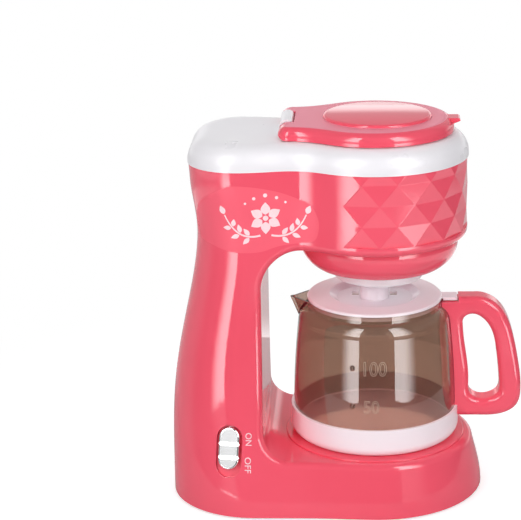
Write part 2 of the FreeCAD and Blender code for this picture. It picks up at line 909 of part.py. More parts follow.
def handle_loop():
    """Outer side of the handle, carried on straight into the pot."""
    top = carafe_rim + handle_top_rise
    low = plate_top + handle_bottom_rise
    inside = 4.0 - carafe_neck_radius
    points = [
        (-handle_step - 8.0, top),
        (-handle_reach + 16.6, top - 1.3),
        (-handle_reach + 11.4, top - 5.0),
        (-handle_reach + 5.0, top - 17.8),
        (-handle_reach + 1.4, top - 34.8),
        (-handle_reach, top - 49.0),
        (-handle_reach + 2.2, top - 58.0),
        (-handle_reach + 9.2, low + 1.1),
        (-handle_reach + 17.5, low),
        (-handle_step - 6.0, low),
    ]
    start = V(-handle_half, inside, top)
    end = V(-handle_half, inside, low)
    outline = Part.Wire([
        Part.makeLine(start, V(-handle_half, *points[0])),
        soft_curve(points, -handle_half, False),
        Part.makeLine(V(-handle_half, *points[-1]), end),
        Part.makeLine(end, start),
    ])
    return Part.Face(outline).extrude(V(2 * handle_half, 0, 0))


def finger_gap():
    ceiling = plate_top + grip_high
    floor = plate_top + grip_low
    points = [
        (-grip_inner + 3.1, ceiling - 4.6),
        (-grip_inner + 1.4, ceiling - 0.9),
        (-grip_inner - 2.4, ceiling),
        (-grip_outer + 8.8, ceiling - 2.2),
        (-grip_outer + 5.2, ceiling - 6.6),
        (-grip_outer + 1.8, ceiling - 19.0),
        (-grip_outer, floor + 9.0),
        (-grip_outer + 0.8, floor + 3.0),
        (-grip_outer + 4.6, floor + 0.3),
        (-grip_inner - 4.6, floor),
        (-grip_inner - 1.2, floor + 2.4),
        (-grip_inner - 0.1, floor + 9.5),
        (-grip_inner + 1.9, ceiling - 16.5),
    ]
    x = -2 * handle_half
    return Part.Face(Part.Wire(soft_curve(points, x, True))).extrude(V(-2 * x, 0, 0))


def side_edges(shape):
    """Edges that lie in either flat side of the handle, clear of the pot."""
    edges = []
    for edge in shape.Edges:
        bounds = edge.BoundBox
        flat = bounds.XLength < 0.01 and abs(abs(bounds.XMin) - handle_half) < 0.01
        if flat and bounds.YLength > 2.0 and bounds.YMin < -handle_step - 1.0:
            edges.append(edge)
    return edges


def carafe_handle():
    """Closed D loop. Its inner leg hugs the pot and its top has a step for the lid's tab."""
    loop = handle_loop()
    loop = loop.makeFillet(handle_round, side_edges(loop))
    loop = loop.cut(finger_gap())
    loop = loop.makeFillet(handle_round, side_edges(loop))
    step = carafe_rim + handle_top_rise - handle_step_drop
    ledge = box(-far, far, -handle_step, 0, step, far)
    ring = rod(band_radius, V(0, 0, plate_top), V(0, 0, plate_top + band_height))
    return loop.cut([ledge, pot_space(), ring])


def carafe_lid():
    flange_top = carafe_rim + carafe_lid_flange
    crest = flange_top + carafe_lid_dome
    dish = crest - dish_drop
    plug = carafe_rim_radius - glass_wall - plug_gap
    lid = spun([
        (0.0, dish - dish_floor),
        (dish_radius - dish_slope, dish - dish_floor),
        (dish_radius, carafe_rim),
        (plug - plug_wall, carafe_rim),
        (plug - plug_wall, carafe_rim - plug_depth),
        (plug, carafe_rim - plug_depth),
        (plug, carafe_rim),
        (carafe_lid_radius, carafe_rim),
        (carafe_lid_radius, flange_top - 0.6),
        (carafe_lid_radius - 0.6, flange_top),
        (dish_radius + 1.6, crest),
        (dish_radius, crest),
        (dish_radius - dish_slope, dish),
        (knob_radius, dish),
        (knob_radius, dish + knob_height - knob_round),
        (knob_radius - knob_round, dish + knob_height),
        (0.0, dish + knob_height),
    ])
    outer = carafe_rim_radius + 0.4
    tab = box(-lid_tab_half, lid_tab_half, -lid_tab_reach, -carafe_lid_radius + 4.0, carafe_rim, carafe_rim + 0.7)
    drop = box(-lid_tab_half, lid_tab_half, -lid_tab_reach, -outer, carafe_rim - lid_tab_drop, carafe_rim)
    vents = []
    for side in (-1, 1):
        low = side * vent_offset - vent_width / 2.0
        start = vent_rearward - vent_length / 2.0
        vents.append(box(start, start + vent_length, low, low + vent_width, 0, far))
    return lid.cut(vents).fuse([tab, drop])


# Switch

def switch_knob():
    low = -well_depth + knob_gap
    knob = stadium(knob_width, knob_length, low, knob_proud)
    rounded = [edge for edge in knob.Edges if edge.BoundBox.ZMin > knob_proud - 0.01]
    knob = knob.makeFillet(0.8, rounded)
    grooves = [rod(groove_radius, V(-far, y, knob_proud + 0.3), V(far, y, knob_proud + 0.3)) for y in groove_places]
    half = stem_width / 2.0
    stem = box(-half, half, -stem_length / 2.0, stem_length / 2.0, low - stem_depth, low + 0.5)
    knob = knob.cut(grooves).fuse(stem)
    knob.translate(V(0, knob_shift, 0))
    return on_switch(knob)


def slide_switch():
    top = -well_depth - well_wall
    middle = knob_shift - switch_travel / 2.0
    half = switch_body_width / 2.0
    body = box(-half, half, middle - switch_body_length / 2.0, middle + switch_body_length / 2.0,
               top - switch_body_depth, top)
    ears = box(-half, half, middle - switch_ear_length / 2.0, middle + switch_ear_length / 2.0,
               top - switch_ear_thickness, top)
    channel = well_slot().common(box(-far, far, -far, far, top - switch_body_depth + 0.8, top + 1.0))
    return on_switch(body.fuse(ears).cut(channel))


# Electrics in the column

def board_rear():
    return column_front + wall + board_standoff + board_thickness


def circuit_board():
    front = board_rear() - board_thickness
    board = box(-board_half_width, board_half_width, front, board_rear(), board_low, board_high)
    holes = [rod(board_screw_radius, V(x, front - 1, z), V(x, board_rear() + 1, z)) for x, z in post_places()]
    return board.cut(holes)


def board_screws():
    length = board_screw_length + board_thickness - 1.0
    return Part.makeCompound([
        screw(V(x, board_rear(), z), V(0, -1, 0), length, board_head_radius, board_head_height, board_screw_radius)
        for x, z in post_places()
    ])


def board_parts():
    """Sound chip under its round blob, and one capacitor."""
    middle = (board_low + board_high) / 2.0
    rear = board_rear()
    chip = rod(chip_radius, V(-3.0, rear, middle), V(-3.0, rear + chip_height, middle))
    capacitor = rod(capacitor_radius, V(8.0, rear, middle + 9.0), V(8.0, rear + capacitor_length, middle + 9.0))
    return Part.makeCompound([chip, capacitor])


def speaker():
    face = speaker_seat(speaker_z)
    back = face - speaker_flange
    cone_end = back - speaker_cone_depth
    magnet_end = cone_end - speaker_magnet_depth
    at = speaker_z
    flange = rod(speaker_radius, V(0, back, at), V(0, face, at))
    cone = Part.makeCone(speaker_magnet_radius - 1.0, speaker_radius - 1.2, speaker_cone_depth,
                         V(0, cone_end, at), V(0, 1, 0))
    magnet = rod(speaker_magnet_radius, V(0, magnet_end, at), V(0, cone_end, at))
    dish = Part.makeCone(speaker_radius - 7.0, speaker_radius - 2.0, speaker_flange,
                         V(0, back + 0.8, at), V(0, 1, 0))
    dome = Part.makeSphere(5.0, V(0, face - 4.6, at))
    return flange.fuse([cone, magnet]).cut(dish).fuse(dome)


def wire(points):
    """Insulated wire along a soft curve."""
    route = Part.BSplineCurve()
    route.interpolate([V(*point) for point in points])
    spine = Part.Wire(route.toShape())
    start = V(*points[0])
    along = route.tangent(route.FirstParameter)[0]
    ring = Part.Wire(Part.makeCircle(wire_radius, start, along))
    return spine.makePipeShell([ring], True, True)


def switch_tag(side, lead):
    """Point behind one soldering tag of the switch, a given way in from its back."""
    back = -well_depth - well_wall - switch_body_depth - lead
    middle = knob_shift - switch_travel / 2.0
    point = switch_frame().multVec(V(0, middle + side * tag_offset, back))
    return (point.x, point.y, point.z)


def wires():
    bay_end = -(bay_half_length + bay_ledge + bay_wall)
    rear = board_rear()
    magnet = speaker_seat(speaker_z) - speaker_flange - speaker_cone_depth - speaker_magnet_depth
    start_y, start_z = battery_wire_start
    battery = [(bay_end - wire_gap, start_y, start_z), (bay_end - wire_lead / 2.0, start_y + 1.0, start_z)]
    battery += battery_wire_way
    battery += [switch_tag(-1, wire_lead), switch_tag(-1, wire_gap)]
    end_x, end_z = switch_wire_end
    switch = [switch_tag(1, wire_gap), switch_tag(1, wire_lead)]
    switch += switch_wire_way
    switch += [(end_x, rear + wire_lead, end_z), (end_x, rear + wire_gap, end_z)]
    from_x, from_z = speaker_wire_start
    to_x, to_z = speaker_wire_end
    sound = [(from_x, rear + wire_gap, from_z), (from_x, rear + wire_lead, from_z)]
    sound += speaker_wire_way
    sound += [(to_x, magnet - wire_lead, to_z), (to_x, magnet - wire_gap, to_z)]
    return Part.makeCompound([wire(battery), wire(switch), wire(sound)])


# Bottom cover, battery bay and feet

def door_outline(gap):
    """Door with its screw ear, between the bottom face and its own thickness."""
    low = foot_height
    high = foot_height + door_thickness + gap
    reach = bay_half_length + bay_ledge + gap
    half = bay_half_width + bay_ledge + gap
    ear = box(0, reach + door_ear_reach, -door_ear_half - gap, door_ear_half + gap, low, high)
    return box(-reach, reach, -half, half, low, high).fuse(ear)


def door_screw_place():
    return V(bay_half_length + bay_ledge + door_ear_reach - door_ear_half + 0.4, 0, foot_height + screw_head_height * 0.7)


def bottom_cover():
    inside = foot_height + bottom_thickness
    plate = Part.Face(body_section(foot_height, wall + bottom_gap)).extrude(V(0, 0, bottom_thickness))
    reach = bay_half_length + bay_ledge + bay_wall
    half = bay_half_width + bay_ledge + bay_wall
    bay_top = foot_height + door_thickness + 2 * cell_radius + 2 * cell_gap + 1.0
    block = box(-reach, reach, -half, half, foot_height, bay_top + bay_wall)
    ear = door_screw_place()
    boss = rod(boss_radius + 1.5, V(ear.x, 0, foot_height), V(ear.x, 0, inside + screw_length))
    cover = plate.fuse([block, boss])
    cuts = [door_outline(door_gap)]
    cuts.append(box(-bay_half_length, bay_half_length, -bay_half_width, bay_half_width, 0, bay_top))
    cuts.append(rod(screw_radius, V(ear.x, 0, 0), V(ear.x, 0, inside + screw_length - 1.5)))
    for x, y in sides(bottom_screw_places):
        cuts.append(rod(screw_radius, V(x, y, 0), V(x, y, far)))
        cuts.append(rod(recess_radius, V(x, y, 0), V(x, y, foot_height + 1.0)))
    for x, y in sides(foot_places):
        cuts.append(rod(foot_radius, V(x, y, 0), V(x, y, foot_height + foot_recess)))
    return cover.cut(cuts)


def battery_door():
    at = door_screw_place()
    door = door_outline(0.0)
    seat = rod(screw_head_radius, V(at.x, 0, 0), at)
    return door.cut([seat, rod(screw_radius, at - V(0, 0, 5), at + V(0, 0, 5))])


def battery_door_screw():
    return screw(door_screw_place(), V(0, 0, 1), screw_length - 3.0, screw_head_radius, 1.0, screw_radius)


def base_screws():
    return Part.makeCompound([
        screw(V(x, y, foot_height + 1.0), V(0, 0, 1), screw_length, screw_head_radius, 0.9, screw_radius)
        for x, y in sides(bottom_screw_places)
    ])


def rubber_feet():
    return Part.makeCompound([
        rod(foot_radius, V(x, y, 0), V(x, y, foot_height + foot_recess)) for x, y in sides(foot_places)
    ])


def cell_height():
    return foot_height + door_thickness + cell_gap + cell_radius


def cell_line(side):
    return side * (cell_radius + cell_gap)


def cell_ends(side):
    """Nub end and flat end along X, for the cell on one side of the middle."""
    nub = side * (bay_half_length - contact_thickness)
    return nub, nub - side * (nub_length + cell_length)


def battery_cells():
    cells = []
    for side in (-1, 1):
        y = cell_line(side)
        z = cell_height()
        nub, flat = cell_ends(side)
        shoulder = nub - side * nub_length
        can = rod(cell_radius, V(flat, y, z), V(shoulder, y, z))
        cells.append(can.fuse(rod(nub_radius, V(shoulder, y, z), V(nub, y, z))))
    return Part.makeCompound(cells)


def contact_plates():
    """One bridge across both cells, and a separate plate for each at the other end."""
    z = cell_height()
    inner = bay_half_length - contact_thickness
    low = z - contact_half
    high = z + contact_half
    wide = cell_line(1) + contact_half
    near = cell_line(1) - contact_half
    return Part.makeCompound([
        box(-bay_half_length, -inner, -wide, wide, low, high),
        box(inner, bay_half_length, near, wide, low, high),
        box(inner, bay_half_length, -wide, -near, low, high),
    ])


def contact_springs():
    """Coil between each cell's flat end and its plate."""
    coils = []
    for side in (-1, 1):
        nub, flat = cell_ends(side)
        wall_face = -side * (bay_half_length - contact_thickness)
        length = abs(flat - wall_face) - 2 * spring_wire
        helix = Part.makeHelix(length / spring_turns, length, spring_radius)
        start = V(spring_radius, 0, 0)
        ring = Part.Wire(Part.makeCircle(spring_wire, start, V(0, 1, 0)))
        coil = Part.Wire(helix).makePipeShell([ring], True, True)
        coil.rotate(V(0, 0, 0), V(0, 1, 0), 90)
        coil.translate(V(min(flat, wall_face) + spring_wire, cell_line(side), cell_height()))
        coils.append(coil)
    return Part.makeCompound(coils)


left_shell, right_shell = body_shells()
save("left_shell", left_shell)
save("right_shell", right_shell)
save("shell_screws", shell_screws())
save("top_cover", top_cover())
save("brew_lid", brew_lid())
save("lid_hinge_pin", hinge_pin())
save("water_cup", water_cup())
save("brew_bowl", brew_bowl())
save("drip_plate", drip_plate())
save("warming_plate", warming_plate())
save("carafe_body", carafe_body())
save("carafe_base", carafe_base())
save("carafe_handle", carafe_handle())
save("carafe_lid", carafe_lid())
save("switch_knob", switch_knob())
save("slide_switch", slide_switch())
save("circuit_board", circuit_board())
save("board_screws", board_screws())
save("board_parts", board_parts())
save("speaker", speaker())
save("wires", wires())
save("bottom_cover", bottom_cover())
save("battery_door", battery_door())
save("battery_door_screw", battery_door_screw())
save("base_screws", base_screws())
save("rubber_feet", rubber_feet())
save("battery_cells", battery_cells())
save("contact_plates", contact_plates())
save("contact_springs", contact_springs())
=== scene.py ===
import json
import math

import bmesh
import bpy
from mathutils import Matrix, Vector
from mathutils.bvhtree import BVHTree


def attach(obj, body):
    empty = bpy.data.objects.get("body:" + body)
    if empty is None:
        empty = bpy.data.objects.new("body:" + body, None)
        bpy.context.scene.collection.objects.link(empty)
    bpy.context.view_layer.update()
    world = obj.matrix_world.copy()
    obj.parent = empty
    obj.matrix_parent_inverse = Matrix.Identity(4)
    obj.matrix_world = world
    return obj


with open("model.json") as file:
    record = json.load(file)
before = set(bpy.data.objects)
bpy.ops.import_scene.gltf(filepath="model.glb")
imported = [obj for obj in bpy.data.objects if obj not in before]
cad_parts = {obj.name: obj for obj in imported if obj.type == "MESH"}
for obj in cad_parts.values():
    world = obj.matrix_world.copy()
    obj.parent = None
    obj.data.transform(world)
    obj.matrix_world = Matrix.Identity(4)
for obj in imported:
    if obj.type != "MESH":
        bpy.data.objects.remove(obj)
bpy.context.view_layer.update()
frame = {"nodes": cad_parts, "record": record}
nodes = frame["nodes"]

# Lengths are in metres, in the frame of the model, and the front faces -Y.
# The print on the left side is laid out in millimetres instead: along the side from the brew
# axis towards the rear, and up from the ground.
BREW_Y = -0.0144
FAR_LEFT = -0.2
ACROSS = Vector((1, 0, 0))


def linear(red, green, blue):
    """Scene-linear colour from the usual 0 to 255 values."""
    values = []
    for value in (red, green, blue):
        share = value / 255.0
        values.append(share / 12.92 if share <= 0.04045 else ((share + 0.055) / 1.055) ** 2.4)
    return (values[0], values[1], values[2], 1.0)


def dimmed(colour, share):
    return tuple(value * share for value in colour[:3]) + (1.0,)


# Camera

CAMERA_PITCH = math.radians(17.40)
CAMERA_YAW = math.radians(3.63)
CAMERA_ROLL = math.radians(-1.16)
CAMERA_PLACE = Vector((-0.900, BREW_Y, 0.4005))
CAMERA_LENS = 129.98
CAMERA_SENSOR = 36.0
CAMERA_CLIP = (0.01, 20.0)


def add_camera():
    """Looks down a little at the toy's left side."""
    sight = Vector((
        math.cos(CAMERA_PITCH) * math.cos(CAMERA_YAW),
        math.cos(CAMERA_PITCH) * math.sin(CAMERA_YAW),
        -math.sin(CAMERA_PITCH),
    ))
    level = sight.cross(Vector((0, 0, 1))).normalized()
    upright = level.cross(sight).normalized()
    right = level * math.cos(CAMERA_ROLL) + upright * math.sin(CAMERA_ROLL)
    up = upright * math.cos(CAMERA_ROLL) - level * math.sin(CAMERA_ROLL)
    data = bpy.data.cameras.new("camera")
    data.sensor_width = CAMERA_SENSOR
    data.lens = CAMERA_LENS
    data.clip_start, data.clip_end = CAMERA_CLIP
    camera = bpy.data.objects.new("camera", data)
    turn = Matrix((right, up, -sight)).transposed().to_4x4()
    camera.matrix_world = Matrix.Translation(CAMERA_PLACE) @ turn
    bpy.context.scene.collection.objects.link(camera)
    bpy.context.scene.camera = camera


# Helpers for materials

class Nodes:
    """Adds nodes to one material or world and links them."""

    def __init__(self, owner):
        owner.use_nodes = True
        self.tree = owner.node_tree
        self.tree.nodes.clear()

    def add(self, kind, **settings):
        node = self.tree.nodes.new(kind)
        for key, value in settings.items():
            setattr(node, key, value)
        return node

    def link(self, start, end):
        self.tree.links.new(start, end)

    def feed(self, source, socket):
        """Links a socket, or sets a plain value."""
        if isinstance(source, bpy.types.NodeSocket):
            self.link(source, socket)
        else:
            socket.default_value = source

    def show(self, surface, kind="ShaderNodeOutputMaterial"):
        self.link(surface, self.add(kind).inputs["Surface"])

    def noise(self, scale, detail=3.0, stretch=(1.0, 1.0, 1.0)):
        where = self.add("ShaderNodeTexCoord")
        mapping = self.add("ShaderNodeMapping")
        mapping.inputs["Scale"].default_value = stretch
        texture = self.add("ShaderNodeTexNoise")
        texture.inputs["Scale"].default_value = scale
        texture.inputs["Detail"].default_value = detail
        self.link(where.outputs["Object"], mapping.inputs["Vector"])
        self.link(mapping.outputs["Vector"], texture.inputs["Vector"])
        return texture.outputs["Fac"]

    def ramp(self, value, low, high, start=0.35, end=0.65):
        """One colour up to the start, another from the end on."""
        ramp = self.add("ShaderNodeValToRGB")
        ramp.color_ramp.elements[0].position = start
        ramp.color_ramp.elements[0].color = low
        ramp.color_ramp.elements[1].position = end
        ramp.color_ramp.elements[1].color = high
        self.link(value, ramp.inputs["Fac"])
        return ramp.outputs["Color"]

    def spread(self, value, low, high):
        """A value from 0 to 1 spread evenly between two levels."""
        reach = self.add("ShaderNodeMapRange")
        reach.inputs["To Min"].default_value = low
        reach.inputs["To Max"].default_value = high
        self.link(value, reach.inputs["Value"])
        return reach.outputs["Result"]

    def step(self, value, start, end, low=0.0, high=1.0):
        """Smooth change from one level to another between two values."""
        reach = self.add("ShaderNodeMapRange", interpolation_type="SMOOTHSTEP")
        reach.inputs["From Min"].default_value = start
        reach.inputs["From Max"].default_value = end
        reach.inputs["To Min"].default_value = low
        reach.inputs["To Max"].default_value = high
        self.link(value, reach.inputs["Value"])
        return reach.outputs["Result"]

    def calc(self, kind, first, second):
        """One step of arithmetic. Either side is a socket or a plain number."""
        node = self.add("ShaderNodeMath", operation=kind)
        self.feed(first, node.inputs[0])
        self.feed(second, node.inputs[1])
        return node.outputs["Value"]

    def band(self, value, rise, fall):
        """One between two smooth changes, and nothing outside them."""
        return self.calc("MULTIPLY", self.step(value, *rise), self.step(value, *fall, 1.0, 0.0))

    def split(self, output):
        """Three parts of a texture coordinate: a place in the piece's own frame, or a direction."""
        where = self.add("ShaderNodeTexCoord")
        apart = self.add("ShaderNodeSeparateXYZ")
        self.link(where.outputs[output], apart.inputs["Vector"])
        return apart.outputs["X"], apart.outputs["Y"], apart.outputs["Z"]

    def mix_colour(self, share, first, second):
        """Either colour is a socket or plain values."""
        blend = self.add("ShaderNodeMix", data_type="RGBA")
        self.link(share, blend.inputs["Factor"])
        self.feed(first, blend.inputs["A"])
        self.feed(second, blend.inputs["B"])
        return blend.outputs["Result"]

    def mix_shader(self, share, first, second):
        mix = self.add("ShaderNodeMixShader")
        self.link(share, mix.inputs["Fac"])
        self.link(first, mix.inputs[1])
        self.link(second, mix.inputs[2])
        return mix.outputs["Shader"]

    def rays(self, *kinds):
        """One for light paths of these kinds, and nothing for all others."""
        path = self.add("ShaderNodeLightPath")
        outputs = [path.outputs["Is " + kind + " Ray"] for kind in kinds]
        wanted = outputs[0]
        for output in outputs[1:]:
            wanted = self.calc("MAXIMUM", wanted, output)
        return wanted

    def soft_edge(self, radius):
        """Normal that rounds the edges a little in the shading."""
        bevel = self.add("ShaderNodeBevel", samples=4)
        bevel.inputs["Radius"].default_value = radius
        return bevel.outputs["Normal"]

    def bump(self, value, distance, strength, normal=None):
        bump = self.add("ShaderNodeBump")
        bump.inputs["Distance"].default_value = distance
        bump.inputs["Strength"].default_value = strength
        self.link(value, bump.inputs["Height"])
        if normal is not None:
            self.link(normal, bump.inputs["Normal"])
        return bump.outputs["Normal"]


def new_surface(name):
    """A new material, its nodes, and a shader that is not shown yet."""
    material = bpy.data.materials.new(name)
    n = Nodes(material)
    shader = n.add("ShaderNodeBsdfPrincipled")
    return material, n, shader


# Plastic. The scales of patterns are in waves to the metre, here and in the two sections below.

PLASTIC_IOR = 1.5
PLASTIC_EDGE = 0.0004
COLOUR_DRIFT = 14.0
GLOSS_DRIFT = 60.0
GRAIN_SCALE = 900.0
GRAIN_DEPTH = 0.00002
GRAIN_STRENGTH = 0.35


def moulded(name, colour, deeper, rough, edge=PLASTIC_EDGE):
    """Moulded plastic: a faint drift of colour, fine unevenness of the gloss and, unless the edge
    is 0, softened edges."""
    material, n, shader = new_surface(name)
    n.link(n.ramp(n.noise(COLOUR_DRIFT), deeper, colour), shader.inputs["Base Color"])
    n.link(n.spread(n.noise(GLOSS_DRIFT), *rough), shader.inputs["Roughness"])
    shader.inputs["IOR"].default_value = PLASTIC_IOR
    normal = n.soft_edge(edge) if edge else None
    grain = n.noise(GRAIN_SCALE, detail=2.0)
    n.link(n.bump(grain, GRAIN_DEPTH, GRAIN_STRENGTH, normal), shader.inputs["Normal"])
    n.show(shader.outputs["BSDF"])
    return material


# The lid's pad stands PAD_HEIGHT over the field round it, and the shading domes it by PAD_DOME.
# The satin finish, which also carries a painted sheen in its colour, is whole up to FIELD_INNER above
# and below the field, and gone at FIELD_OUTER.
# PAD_RIM is where the dome ends, as a share of the square of the pad's radius.
PAD_HEIGHT = 0.0015
PAD_DOME = 0.0019
PAD_RIM = 1.02
CROWN_DEPTH = 0.0001
FIELD_INNER = 0.0001
FIELD_OUTER = 0.0003
SATIN_GRAIN_SCALE = 2600.0
SATIN_GRAIN_DEPTH = 0.00004
SATIN_ROUGHER = 0.33
# Painted sheen: the field's colour is mixed by this share towards the pale dusky pink below, which
# stands in for the bright backdrop it mirrors.
PAINTED_SHEEN_SHARE = 0.9
PAINTED_SHEEN_PINK = linear(238, 132, 154)


def lid_plastic(name, colour, deeper, rough):
    """The lid's plastic: a satin field round a glossy pad that is a little domed. The field's colour is
    paled towards a dusky pink, a painted sheen.
    """
    points = [vertex.co for vertex in nodes["brew_lid"].data.vertices]
    top = max(point.z for point in points)
    crown = [point.y for point in points if point.z > top - CROWN_DEPTH]
    middle = (max(crown) + min(crown)) / 2.0
    radius = (max(crown) - min(crown)) / 2.0
    limit = radius * radius
    field = top - PAD_HEIGHT
    material, n, shader = new_surface(name)
    x, y, z = n.split("Object")
    off = n.calc("SUBTRACT", y, middle)
    square = n.calc("ADD", n.calc("MULTIPLY", x, x), n.calc("MULTIPLY", off, off))
    dome = n.calc("MULTIPLY", n.calc("SUBTRACT", limit, square), PAD_DOME / limit)
    inside = n.step(square, limit, limit * PAD_RIM, 1.0, 0.0)
    rise = (field - FIELD_OUTER, field - FIELD_INNER)
    fall = (field + FIELD_INNER, field + FIELD_OUTER)
    satin_and_painted_sheen = n.band(z, rise, fall)
    even_grain = n.calc("MULTIPLY", n.noise(SATIN_GRAIN_SCALE, detail=2.0), SATIN_GRAIN_DEPTH)
    grain = n.calc("MULTIPLY", even_grain, satin_and_painted_sheen)
    height = n.calc("ADD", n.calc("MULTIPLY", n.calc("MAXIMUM", dome, 0.0), inside), grain)
    n.link(n.bump(height, 1.0, 1.0, n.soft_edge(PLASTIC_EDGE)), shader.inputs["Normal"])
    glossy_pink = n.ramp(n.noise(COLOUR_DRIFT), deeper, colour)
    # Painted sheen: the field's colour moves towards the pale dusky pink.
    pink_with_painted_sheen = n.mix_colour(n.calc("MULTIPLY", satin_and_painted_sheen, PAINTED_SHEEN_SHARE), glossy_pink, PAINTED_SHEEN_PINK)
    n.link(pink_with_painted_sheen, shader.inputs["Base Color"])
    gloss = n.spread(n.noise(GLOSS_DRIFT), *rough)
    duller = n.calc("MULTIPLY", satin_and_painted_sheen, SATIN_ROUGHER)
    n.link(n.calc("ADD", gloss, duller), shader.inputs["Roughness"])
    shader.inputs["IOR"].default_value = PLASTIC_IOR
    n.show(shader.outputs["BSDF"])
    return material


# The clear pot, whose floor is told from its side by height

POT_IOR = 1.55
POT_DRIFT = 9.0
POT_DRIFT_RANGE = (0.2, 0.8)
POT_GLOSS_DRIFT = 40.0
POT_ROUGH = (0.01, 0.03)
POT_WAVE_SCALE = 45.0
POT_WAVE_DEPTH = 0.0002
POT_WAVE_STRENGTH = 0.10
POT_FLOOR_TOP = 0.0335
POT_FLOOR_BLEND = 0.0004
LAMP_TINT = (0.97, 0.94, 0.93, 1.0)


def smoked(name, side, side_deeper, floor):
    """Clear brown plastic. Its floor is left nearly clear and pinkish, painted light that makes the
    inside of the pot look lit, and light from the lamps goes straight through.
    """
    material, n, shader = new_surface(name)
    tint = n.ramp(n.noise(POT_DRIFT), side_deeper, side, *POT_DRIFT_RANGE)
    height = n.split("Object")[2]
    # Painted light: below this height the tint is the nearly clear pinkish floor colour, so the inside
    # looks lit.
    over_floor = n.step(height, POT_FLOOR_TOP - POT_FLOOR_BLEND, POT_FLOOR_TOP + POT_FLOOR_BLEND)
    n.link(n.mix_colour(over_floor, floor, tint), shader.inputs["Base Color"])
    n.link(n.spread(n.noise(POT_GLOSS_DRIFT), *POT_ROUGH), shader.inputs["Roughness"])
    shader.inputs["IOR"].default_value = POT_IOR
    shader.inputs["Transmission Weight"].default_value = 1.0
    wave = n.noise(POT_WAVE_SCALE, detail=1.0)
    n.link(n.bump(wave, POT_WAVE_DEPTH, POT_WAVE_STRENGTH), shader.inputs["Normal"])
    clear = n.add("ShaderNodeBsdfTransparent")
    clear.inputs["Color"].default_value = LAMP_TINT
    n.show(n.mix_shader(n.rays("Shadow", "Diffuse"), shader.outputs["BSDF"], clear.outputs["BSDF"]))
    return material


# Metal and ink

METAL_EDGE = 0.0003
METAL_DRIFT = 30.0
METAL_GRAIN_SCALE = 200.0
METAL_DIM = 0.9
TURNED = (1.0, 1.0, 12.0)
INK_DRIFT = 1200.0
INK_GLOSS_DRIFT = 300.0
INK_ROUGH = (0.30, 0.40)
INK_THIN = 0.93


def metal(name, colour, rough, stretch=(1.0, 1.0, 1.0)):
    """Plated or turned metal, whose marks a stretch draws out along one axis."""
    material, n, shader = new_surface(name)
    dimmer = dimmed(colour, METAL_DIM)
    n.link(n.ramp(n.noise(METAL_DRIFT), dimmer, colour), shader.inputs["Base Color"])
    shader.inputs["Metallic"].default_value = 1.0
    grain = n.noise(METAL_GRAIN_SCALE, detail=2.0, stretch=stretch)
    n.link(n.spread(grain, *rough), shader.inputs["Roughness"])
    n.link(n.soft_edge(METAL_EDGE), shader.inputs["Normal"])
    n.show(shader.outputs["BSDF"])
    return material


def printed(name, colour):
    """Pad-printed ink, a little uneven."""
    material, n, shader = new_surface(name)
    thinner = dimmed(colour, INK_THIN)
    n.link(n.ramp(n.noise(INK_DRIFT, detail=4.0), thinner, colour), shader.inputs["Base Color"])
    n.link(n.spread(n.noise(INK_GLOSS_DRIFT), *INK_ROUGH), shader.inputs["Roughness"])
    n.show(shader.outputs["BSDF"])
    return material


# The finishes. Each plastic has its colour, a deeper one, and its lowest and highest roughness.

PINK = linear(246, 93, 114)
PINK_DEEPER = linear(243, 88, 109)
PINK_ROUGH = (0.05, 0.09)
WHITE = linear(241, 239, 243)
WHITE_DEEPER = linear(238, 236, 241)
WHITE_PALE = linear(250, 241, 246)
WHITE_PALE_DEEPER = linear(248, 238, 244)
FILM_PINK = linear(246, 91, 113)
FILM_PINK_DEEPER = linear(244, 87, 109)
SMOKE_SIDE = (0.50, 0.37, 0.305, 1.0)
SMOKE_SIDE_DEEPER = (0.48, 0.35, 0.285, 1.0)
# Painted light: a nearly clear pinkish tint for the pot's floor, so that the inside looks lit.
SMOKE_FLOOR_PAINTED_LIGHT = (0.98, 0.80, 0.82, 1.0)
# Painted highlight: an opaque pale smoke for the raised numbers, in place of the light that their clear
# ridges catch.
SMOKE_PAINTED_HIGHLIGHT = linear(184, 164, 146)
SMOKE_PAINTED_HIGHLIGHT_DEEPER = linear(176, 156, 138)
INK_PALE = linear(255, 222, 228)
CHROME = (0.92, 0.92, 0.93, 1.0)
STEEL = (0.55, 0.56, 0.58, 1.0)
NICKEL = (0.72, 0.71, 0.68, 1.0)
BLACK = (0.018, 0.018, 0.020, 1.0)
BLACK_DEEPER = (0.012, 0.012, 0.014, 1.0)
BOARD_GREEN = (0.02, 0.16, 0.06, 1.0)
BOARD_GREEN_DEEPER = (0.015, 0.12, 0.045, 1.0)
WIRE_RED = (0.55, 0.02, 0.02, 1.0)
WIRE_RED_DEEPER = (0.48, 0.015, 0.015, 1.0)
RUBBER = (0.03, 0.03, 0.032, 1.0)
RUBBER_DEEPER = (0.022, 0.022, 0.024, 1.0)
WRAP = (0.05, 0.055, 0.07, 1.0)
WRAP_DEEPER = (0.04, 0.045, 0.06, 1.0)

